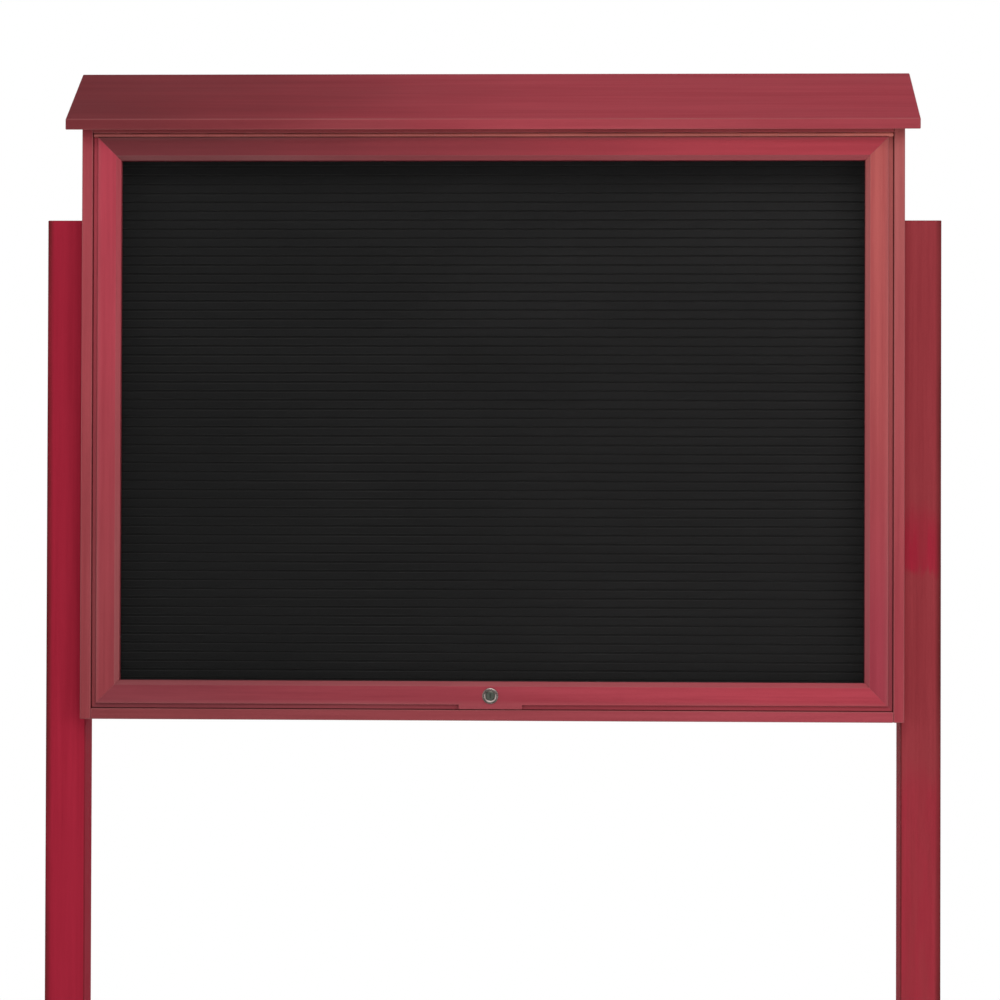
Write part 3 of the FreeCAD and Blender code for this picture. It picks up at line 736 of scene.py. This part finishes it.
def rubber(name, level):
    """Black rubber with a dusty bloom and fine pores."""
    dust = (1.5, 1.5, 1.45)
    material, tree, shader = start_material(name)
    place = object_place(tree)
    bloom = noise(tree, place, scale=45, detail=4)
    pores = noise(tree, place, scale=2400, detail=2)
    dusty = tone(*[level * share for share in dust])
    tree.links.new(mixed(tree, span(tree, bloom, 0.3, 0.7), tone(level, level, level), dusty),
                   shader.inputs["Base Color"])
    tree.links.new(span(tree, bloom, 0.2, 0.8, 0.62, 0.85), shader.inputs["Roughness"])
    bump_into(tree, shader, pores, distance=0.0001, strength=0.4)
    return material


seal_foam = rubber("seal_foam", 24)
dress("door_seal", seal_foam)

# Letter board
# A black ribbed plastic panel whose level grooves take the tabs of push-in letters,
# screwed to a black backing board. The lips of the grooves are slightly rounded.
groove_pitch = 0.0127
groove_width = 0.0030
groove_depth = 0.0035
lip_ease = 0.0007
# Painted light: the board runs from darker at the left to lighter at the right. The rib lips take a
# greyer black for wear and a painted highlight.
left_black = (18, 18, 18)
right_black = (28, 27, 27)
worn_and_lit_black = (46, 45, 44)
worn_and_lit_share = 0.8


def letter_plastic(left, right):
    """Matt black plastic, lighter towards the right as painted light, and greyer on the rounded
    lips of its ribs for wear and a painted highlight.
    """
    material, tree, shader = start_material("letterboard_plastic")
    place = object_place(tree)
    clouds = drawn_noise(tree, place, stretch=2.5, scale=7, detail=4)
    grain = noise(tree, place, scale=1500, detail=2)
    way = figure(tree, "ADD", coordinate(tree, place, 0), swing(tree, clouds, amount=0.9))
    plain = mixed(tree, span(tree, way, left, right), tone(*left_black), tone(*right_black))
    # The lips' greyer black: wear and painted highlight.
    edge_paint_share = figure(tree, "MULTIPLY", marked(tree, "wear_and_painted_light"), worn_and_lit_share)
    tree.links.new(mixed(tree, edge_paint_share, plain, tone(*worn_and_lit_black)), shader.inputs["Base Color"])
    tree.links.new(span(tree, clouds, 0.3, 0.7, 0.62, 0.52), shader.inputs["Roughness"])
    shader.inputs["Specular IOR Level"].default_value = 0.15
    bump_into(tree, shader, grain, distance=0.00008, strength=0.3)
    return material


low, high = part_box("letterboard_panel")
groove_count = int((high.z - low.z - groove_pitch) / groove_pitch)
margin = (high.z - low.z - groove_pitch * (groove_count - 1)) / 2
letterboard = cuboid("letterboard_ribbed", low, high)
levels = [low.z + margin + i * groove_pitch for i in range(groove_count)]
open_edit(letterboard, "FACE", everything)
for level in levels:
    for z in (level - groove_width / 2, level + groove_width / 2):
        bpy.ops.mesh.select_all(action="SELECT")
        bpy.ops.mesh.bisect(plane_co=(0, 0, z), plane_no=(0, 0, 1))
close_edit()


def in_groove(face):
    share = (face.calc_center_median().z - levels[0]) / groove_pitch
    inside = abs(share - round(share)) * groove_pitch < groove_width / 2
    return faces_front(face) and inside and -0.5 < share < groove_count - 0.5


open_edit(letterboard, "FACE", in_groove)
bpy.ops.mesh.extrude_region_move(TRANSFORM_OT_translate={"value": (0, groove_depth, 0)})
close_edit()
ease(letterboard, lip_ease, lambda e: (corner(e) and runs_along(e, 0)
                                       and e.verts[0].co.y < low.y + same_place))
letterboard.data.materials.append(letter_plastic(low.x, high.x))
settle(letterboard)
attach(letterboard, "case")
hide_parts("letterboard_panel")
dress("letterboard_backer", rubber("backing_board", 30))

# Hinge
# A full-width steel hinge with alternate knuckles on one pin, powder-coated in the boards' red
# but painted lighter than them and lighter still to the right, as a highlight. Its leaves
# lie between the header and the top rail.
hinge_left = (182, 94, 92)
hinge_right = (214, 122, 112)
thin_coat = 0.92


def powder_coat(name, first, last, start, end):
    """Powder coat whose colour runs from the first to the last along X, a painted highlight lighter
    to the right, with a fine orange-peel surface.
    """
    material, tree, shader = start_material(name)
    place = object_place(tree)
    peel = noise(tree, place, scale=650, detail=1)
    patches = noise(tree, place, scale=12, detail=2)
    way = span(tree, coordinate(tree, place, 0), start, end)
    full = mixed(tree, way, tone(*first), tone(*last))
    thin = mixed(tree, way, *[tone(*[c * thin_coat for c in colour]) for colour in (first, last)])
    tree.links.new(mixed(tree, span(tree, patches, 0.3, 0.7), full, thin),
                   shader.inputs["Base Color"])
    tree.links.new(span(tree, peel, 0.3, 0.7, 0.34, 0.46), shader.inputs["Roughness"])
    bump_into(tree, shader, peel, distance=0.0001, strength=0.25)
    return material


low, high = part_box("hinge_case_leaf")
hinge_paint = powder_coat("hinge_paint", hinge_left, hinge_right, low.x, high.x)
dress("hinge_case_leaf", hinge_paint)
dress("hinge_door_leaf", hinge_paint)
dress("hinge_pin", screw_steel)

# Door frame
# Four members of one moulded section, with a bevel round the window and a rebate behind
# it, mitred at the corners and keyed. The stiles and the bottom rail carry a tongue that
# nearly fills the gap; it is left full at the lock.
frame_width = 0.032
frame_bevel = 0.006
frame_ease = 0.0015
rebate_width = 0.009
rebate_depth = 0.008
tongue_setback = 0.006
lock_pad_half = 0.044
# Painted light on the frame: a greyish sheen along the outer edge, a highlight on the bevel round
# the window, a dimmer edge colour on the top rail, and painted shade on the set-back tongue.
outer_edge_sheen = 0.5
bevel_facing = 0.6
bevel_highlight = 0.75
dull_worn_and_highlit_edge = (132, 92, 92)
tongue_painted_shade = 0.4
mitre_ease = 0.0003
lock_hole_radius = 0.0097
face_low, face_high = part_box("door_top_rail")
tongue_low, tongue_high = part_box("door_bottom_rail")
tongue = tongue_high.x - face_high.x
face_low.z = tongue_low.z + tongue
frame_thick = face_high.y - face_low.y
lip_depth = frame_thick - rebate_depth
window_side = [(frame_width - frame_bevel, 0), (frame_width, frame_bevel), (frame_width, lip_depth),
               (frame_width - rebate_width, lip_depth), (frame_width - rebate_width, frame_thick)]
plain_section = [(0, 0)] + window_side + [(0, frame_thick)]
tongued_section = ([(0, 0)] + window_side
                   + [(-tongue, frame_thick), (-tongue, tongue_setback), (0, tongue_setback)])
full_section = [(-tongue, 0)] + window_side + [(-tongue, frame_thick)]


def member(name, outline, side, along, start, end):
    """One member: its section drawn at one end, extruded to the other, mitred at both."""
    bpy.ops.object.select_all(action="DESELECT")
    bpy.ops.mesh.primitive_circle_add(vertices=len(outline), radius=frame_width, fill_type="NGON")
    piece = bpy.context.object
    piece.name = name + "_moulded"
    across = 2 - along
    outer = face_high[across] if side > 0 else face_low[across]
    for vertex, (width, depth) in zip(piece.data.vertices, outline):
        place = [0, face_low.y + depth, 0]
        place[across] = outer - side * width
        place[along] = start
        vertex.co = place
    run = [0, 0, 0]
    run[along] = end - start
    open_edit(piece, "FACE", everything)
    bpy.ops.mesh.extrude_region_move(TRANSFORM_OT_translate={"value": run})
    close_edit()
    for way, edge in ((-1, face_low), (1, face_high)):
        at_corner = [0, 0, 0]
        at_corner[across] = outer
        at_corner[along] = edge[along]
        away = [0, 0, 0]
        away[along] = way
        away[across] = -side
        open_edit(piece, "FACE", everything)
        bpy.ops.mesh.bisect(plane_co=at_corner, plane_no=away, use_fill=True, clear_outer=True)
        close_edit()
    open_edit(piece, "FACE", everything)
    bpy.ops.mesh.normals_make_consistent(inside=False)
    close_edit()
    return piece


def finish_member(piece, name, side, along, first, last, shift, edge_colour=worn_and_highlit_edge):
    """Rounds the outer front edge, breaks the sharp ones, lays the skin on, and paints a sheen on
    the outer edge, a highlight on the bevel and shade on the tongue.
    """
    across = 2 - along
    outer = face_high[across] if side > 0 else face_low[across]
    reach = outer + side * tongue

    def outer_front(edge):
        ends = [v.co for v in edge.verts]
        level = all(abs(c.y - face_low.y) < same_place for c in ends)
        at_face = all(abs(c[across] - outer) < same_place for c in ends)
        at_tongue = all(abs(c[across] - reach) < same_place for c in ends)
        return corner(edge) and level and (at_face or at_tongue)

    def bevelled(face):
        return side * face.normal[across] < -bevel_facing and face.normal.y < -bevel_facing

    def on_tongue(face):
        return (face.center.y > face_low.y + frame_ease
                and side * (face.center[across] - outer) > -same_place)
    ease(piece, frame_ease, outer_front, steps=4)
    ease(piece, mitre_ease)
    skin = lumber(name + "_skin", piece, along, first, last, shift, gloss=0.14,
                  edge_colour=edge_colour)
    # Painted sheen along the outer edge.
    add_edge_paint(skin, soft_rim(skin, across, outer, side, outer_edge_sheen))
    piece.data.materials.append(skin)
    settle(piece)
    # Painted highlight on the bevel round the window.
    mark_faces(piece, "wear_and_painted_light", bevelled, bevel_highlight)
    # Painted shade on the tongue, set back in the gap.
    mark_faces(piece, "painted_shade", on_tongue, tongue_painted_shade)
    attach(piece, "door")
    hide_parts(name)


# Painted light: each member's colour runs from the first to the last along it, the rails darker at
# the left and lighter to the right, the stiles lighter towards the top.
top_rail = member("door_top_rail", plain_section, 1, 0, face_low.x, face_high.x)
finish_member(top_rail, "door_top_rail", 1, 0, (115, 49, 54), (178, 63, 75), 2.9, dull_worn_and_highlit_edge)
left_stile = member("door_left_stile", tongued_section, -1, 2, tongue_low.z, face_high.z)
finish_member(left_stile, "door_left_stile", -1, 2, (148, 63, 69), (184, 67, 82), 6.8)
right_stile = member("door_right_stile", tongued_section, 1, 2, tongue_low.z, face_high.z)
finish_member(right_stile, "door_right_stile", 1, 2, (156, 58, 71), (179, 88, 85), 8.1)
bottom_rail = member("door_bottom_rail", full_section, -1, 0, tongue_low.x, tongue_high.x)
for side in (-1, 1):
    near_end, far_end = sorted((side * lock_pad_half, side * (tongue_high.x + tongue)))
    carve(bottom_rail, cuboid("rebate_cut", (near_end, face_low.y - tongue, tongue_low.z - tongue),
                              (far_end, face_low.y + tongue_setback, face_low.z)))
lock_low, lock_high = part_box("lock_body")
lock_centre = (lock_low + lock_high) / 2
carve(bottom_rail, round_tool((lock_centre.x, face_low.y - tongue, lock_centre.z), (0, 1, 0),
                              lock_hole_radius, frame_thick + 2 * tongue))
finish_member(bottom_rail, "door_bottom_rail", -1, 0, (135, 59, 67), (175, 64, 77), 4.6)
dress("door_corner_keys", screw_steel)

# Window
# A sheet of clear polycarbonate bedded on a rubber gasket in the rebate, held by beads of
# the same plastic as the frame.
mirror_level = (0.8, 0.8, 0.8, 1)
clear_level = (0.98, 0.98, 0.98, 1)
sheet_index = 1.3


def clear_sheet():
    """Clear plastic that mirrors a little more at a slant, with faint wiping marks."""
    material, tree, shader = start_material("clear_sheet")
    wipes = drawn_noise(tree, object_place(tree), stretch=6, scale=14, detail=4)
    shader.inputs["Base Color"].default_value = mirror_level
    tree.links.new(span(tree, wipes, 0.2, 0.8, 0.02, 0.08), shader.inputs["Roughness"])
    shader.inputs["Metallic"].default_value = 1.0
    clear = add(tree, "ShaderNodeBsdfTransparent", Color=clear_level)
    glance = add(tree, "ShaderNodeFresnel", IOR=sheet_index)
    mix = tree.nodes.new("ShaderNodeMixShader")
    feed(tree, mix.inputs, (glance.outputs[0], clear.outputs[0], shader.outputs[0]))
    tree.links.new(mix.outputs[0], tree.nodes["Material Output"].inputs["Surface"])
    return material


dress("glazing_gasket", seal_foam)
dress("window_pane", clear_sheet())
for bead, along, shift in (("glazing_bead_top", 0, 1.1), ("glazing_bead_bottom", 0, 1.3),
                           ("glazing_bead_left", 2, 1.5), ("glazing_bead_right", 2, 1.9)):
    dress(bead, lumber(bead + "_skin", nodes[bead], along, rosewood, rosewood, shift))

# Lock
# A nickel-plated cam lock through the bottom rail: a domed ring, a turning plug with a
# bare keyway, a nut behind the rail, and a flat cam that swings behind the strike plate.
ring_radius = 0.0112
ring_height = 0.0025
ring_round = 0.0014
ring_dish = 0.0024
ring_dish_depth = 0.0014
bore_radius = 0.00625
barrel_radius = 0.0095
plug_radius = 0.0062
plug_edge = 0.0005
keyway_width = 0.0018
keyway_height = 0.0075
keyway_depth = 0.007
turned_steps = 72
lock_ease = 0.0003


def turned(name, outline):
    """A piece turned on the lock's axis; the outline's points are (radius, place along Y)."""
    bpy.ops.object.select_all(action="DESELECT")
    bpy.ops.mesh.primitive_circle_add(vertices=len(outline), radius=ring_radius,
                                      fill_type="NOTHING")
    piece = bpy.context.object
    piece.name = name
    for vertex, (radius, depth) in zip(piece.data.vertices, outline):
        vertex.co = (lock_centre.x + radius, depth, lock_centre.z)
    open_edit(piece, "EDGE", everything)
    bpy.ops.mesh.spin(steps=turned_steps, angle=math.tau, center=(lock_centre.x, 0, lock_centre.z),
                      axis=(0, 1, 0))
    bpy.ops.mesh.select_all(action="SELECT")
    bpy.ops.mesh.remove_doubles(threshold=merge_distance)
    bpy.ops.mesh.delete_loose(use_faces=False)
    bpy.ops.mesh.select_all(action="SELECT")
    bpy.ops.mesh.normals_make_consistent(inside=False)
    close_edit()
    return piece


def arc(centre_radius, centre_depth, radius, first, last, steps=5):
    """Points of an outline, on an arc from the first angle to the last."""
    turns = [math.radians(first + (last - first) * i / steps) for i in range(steps + 1)]
    return [(centre_radius + radius * math.cos(t), centre_depth + radius * math.sin(t))
            for t in turns]


plating = brushed("lock_plating", (190, 176, 170), 0.26, scale=1400.0)
plug_plating = brushed("plug_plating", (150, 157, 145), 0.34, scale=1400.0)
door_face = face_low.y
ring_face = door_face - ring_height
ring_outline = [(barrel_radius, lock_high.y), (barrel_radius, door_face), (ring_radius, door_face)]
ring_outline += arc(ring_radius - ring_round, ring_face + ring_round, ring_round, 0, -90)
ring_outline += [(bore_radius + ring_dish, ring_face), (bore_radius, ring_face + ring_dish_depth),
                 (bore_radius, lock_high.y)]
finish_metal(turned("lock_body_turned", ring_outline), "lock_body", "door",
             plating, angle=30)
plug_low, plug_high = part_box("lock_plug")
plug_outline = [(0, plug_low.y), (plug_radius - plug_edge, plug_low.y),
                (plug_radius, plug_low.y + plug_edge), (plug_radius, plug_high.y),
                (0, plug_high.y)]
plug = turned("lock_plug_turned", plug_outline)
keyway_low = (-keyway_width / 2, plug_low.y - plug_edge, lock_centre.z - keyway_height / 2)
keyway_high = (keyway_width / 2, plug_low.y + keyway_depth, lock_centre.z + keyway_height / 2)
carve(plug, cuboid("keyway", keyway_low, keyway_high))
finish_metal(plug, "lock_plug", "lock_cylinder", plug_plating, angle=30)
for cad_node, body in (("lock_nut", "door"), ("lock_cam", "lock_cylinder"),
                       ("lock_cam_screw", "lock_cylinder")):
    eased_hardware(cad_node, body, plating, lock_ease)
eased_hardware("strike_plate", "case", screw_steel, lock_ease)

# Stays
# Two flat stainless arms hang from studs in the side boards. With the door up, the foot
# of each drops behind the lip of a catch plate screwed to the back of the stile.
for cad_node, body in (("stay_pivot_studs", "case"), ("stay_catches", "door"),
                       ("left_stay_arm", "left_stay"), ("right_stay_arm", "right_stay")):
    eased_hardware(cad_node, body, screw_steel)

# Studio
# A pale floor that fades into a white surround, large soft lamps above, on both sides, low
# in front and behind, and dim cards that only reflections show.
floor_gap = 0.0005
floor_level = cad_box[0].z - floor_gap
floor_radius = 3.2
floor_fade = (0.45, 0.98)
floor_paint = (0.82, 0.82, 0.82, 1)
white = (1, 1, 1, 1)
world_light = 0.42
card_light = 0.16
camera_place = (0.12815, -4.00227, 1.39416)
camera_turn = math.radians(1.69578)
camera_tilt = math.radians(0.60057)
camera_roll = math.radians(0.17396)
lens_pixels = 2815.35
picture_pixels = 1000
sensor = 36.0

bpy.ops.object.select_all(action="DESELECT")
bpy.ops.mesh.primitive_circle_add(vertices=96, radius=floor_radius, fill_type="NGON",
                                  location=(0, 0, floor_level))
floor = bpy.context.object
floor.name = "studio_floor"
material, tree, shader = start_material("floor_paint")
place = object_place(tree)
speckle = noise(tree, place, scale=30, detail=3)
reach = add(tree, "ShaderNodeVectorMath", operation="LENGTH", Vector=place).outputs["Value"]
shader.inputs["Base Color"].default_value = floor_paint
tree.links.new(span(tree, speckle, 0.3, 0.7, 0.7, 0.8), shader.inputs["Roughness"])
shader.inputs["Specular IOR Level"].default_value = 0.2
clear = tree.nodes.new("ShaderNodeBsdfTransparent")
mix = tree.nodes.new("ShaderNodeMixShader")
below = add(tree, "ShaderNodeNewGeometry").outputs["Backfacing"]
fade = span(tree, reach, *[floor_radius * share for share in floor_fade])
fade = figure(tree, "MAXIMUM", fade, below)
feed(tree, mix.inputs, (fade, shader.outputs[0], clear.outputs[0]))
tree.links.new(mix.outputs[0], tree.nodes["Material Output"].inputs["Surface"])
floor.data.materials.append(material)

material, tree, shader = start_material("dark_card")
tree.nodes.remove(shader)
path = tree.nodes.new("ShaderNodeLightPath")
shade = add(tree, "ShaderNodeEmission", Color=(card_light, card_light, card_light, 1),
            Strength=1.0)
clear = tree.nodes.new("ShaderNodeBsdfTransparent")
mix = tree.nodes.new("ShaderNodeMixShader")
feed(tree, mix.inputs, (path.outputs["Is Glossy Ray"], clear.outputs[0], shade.outputs[0]))
tree.links.new(mix.outputs[0], tree.nodes["Material Output"].inputs["Surface"])
front_card = ((-8.0, -6.02, -0.6), (8.0, -6.0, 7.0))
floor_card = ((-4.5, -6.0, floor_level + 0.01), (4.5, -0.8, floor_level + 0.02))
for name, (low, high) in (("front_card", front_card), ("floor_card", floor_card)):
    card = cuboid(name, low, high)
    card.data.materials.append(material)

world = bpy.data.worlds.new("studio")
world.use_nodes = True
bpy.context.scene.world = world
tree = world.node_tree
light = tree.nodes["Background"]
light.inputs["Color"].default_value = white
light.inputs["Strength"].default_value = world_light
seen = add(tree, "ShaderNodeBackground", Color=white, Strength=1.0)
path = tree.nodes.new("ShaderNodeLightPath")
shown = figure(tree, "MAXIMUM", path.outputs["Is Camera Ray"], path.outputs["Is Glossy Ray"])
shown = figure(tree, "MAXIMUM", shown, path.outputs["Is Transmission Ray"])
mix = tree.nodes.new("ShaderNodeMixShader")
feed(tree, mix.inputs, (shown, light.outputs[0], seen.outputs[0]))
tree.links.new(mix.outputs[0], tree.nodes["World Output"].inputs["Surface"])


def lamp(name, place, target, size, power, mirrored=True):
    """A square soft lamp. One that isn't mirrored shows in no reflection."""
    bpy.ops.object.select_all(action="DESELECT")
    bpy.ops.object.light_add(type="AREA", location=place)
    made = bpy.context.object
    made.name = name
    made.data.size = size
    made.data.energy = power
    made.rotation_mode = "QUATERNION"
    made.rotation_quaternion = (Vector(target) - Vector(place)).to_track_quat("-Z", "Y")
    made.visible_glossy = mirrored


lamp("front_lamp", (0.3, -4.1, 3.6), (0.0, -0.1, 1.5), 2.0, 55)
lamp("right_lamp", (2.4, -4.2, 1.9), (0.0, -0.1, 1.5), 2.0, 53, mirrored=False)
lamp("left_lamp", (-2.6, -4.2, 1.9), (0.0, -0.1, 1.5), 2.0, 27, mirrored=False)
lamp("low_lamp", (0.2, -3.7, 0.1), (0.0, -0.1, 1.6), 1.2, 16, mirrored=False)
lamp("back_lamp", (0.0, 4.2, 2.4), (0.0, 0.0, 1.3), 2.0, 50)

bpy.ops.object.camera_add()
camera = bpy.context.object
camera.matrix_world = (Matrix.Translation(camera_place) @ Matrix.Rotation(camera_turn, 4, "Z")
                       @ Matrix.Rotation(math.radians(90) + camera_tilt, 4, "X")
                       @ Matrix.Rotation(camera_roll, 4, "Z"))
camera.data.sensor_width = sensor
camera.data.lens = lens_pixels / picture_pixels * sensor
camera.data.clip_start = 0.1
camera.data.clip_end = 100
bpy.context.scene.camera = camera
bpy.context.scene.view_settings.view_transform = "Standard"
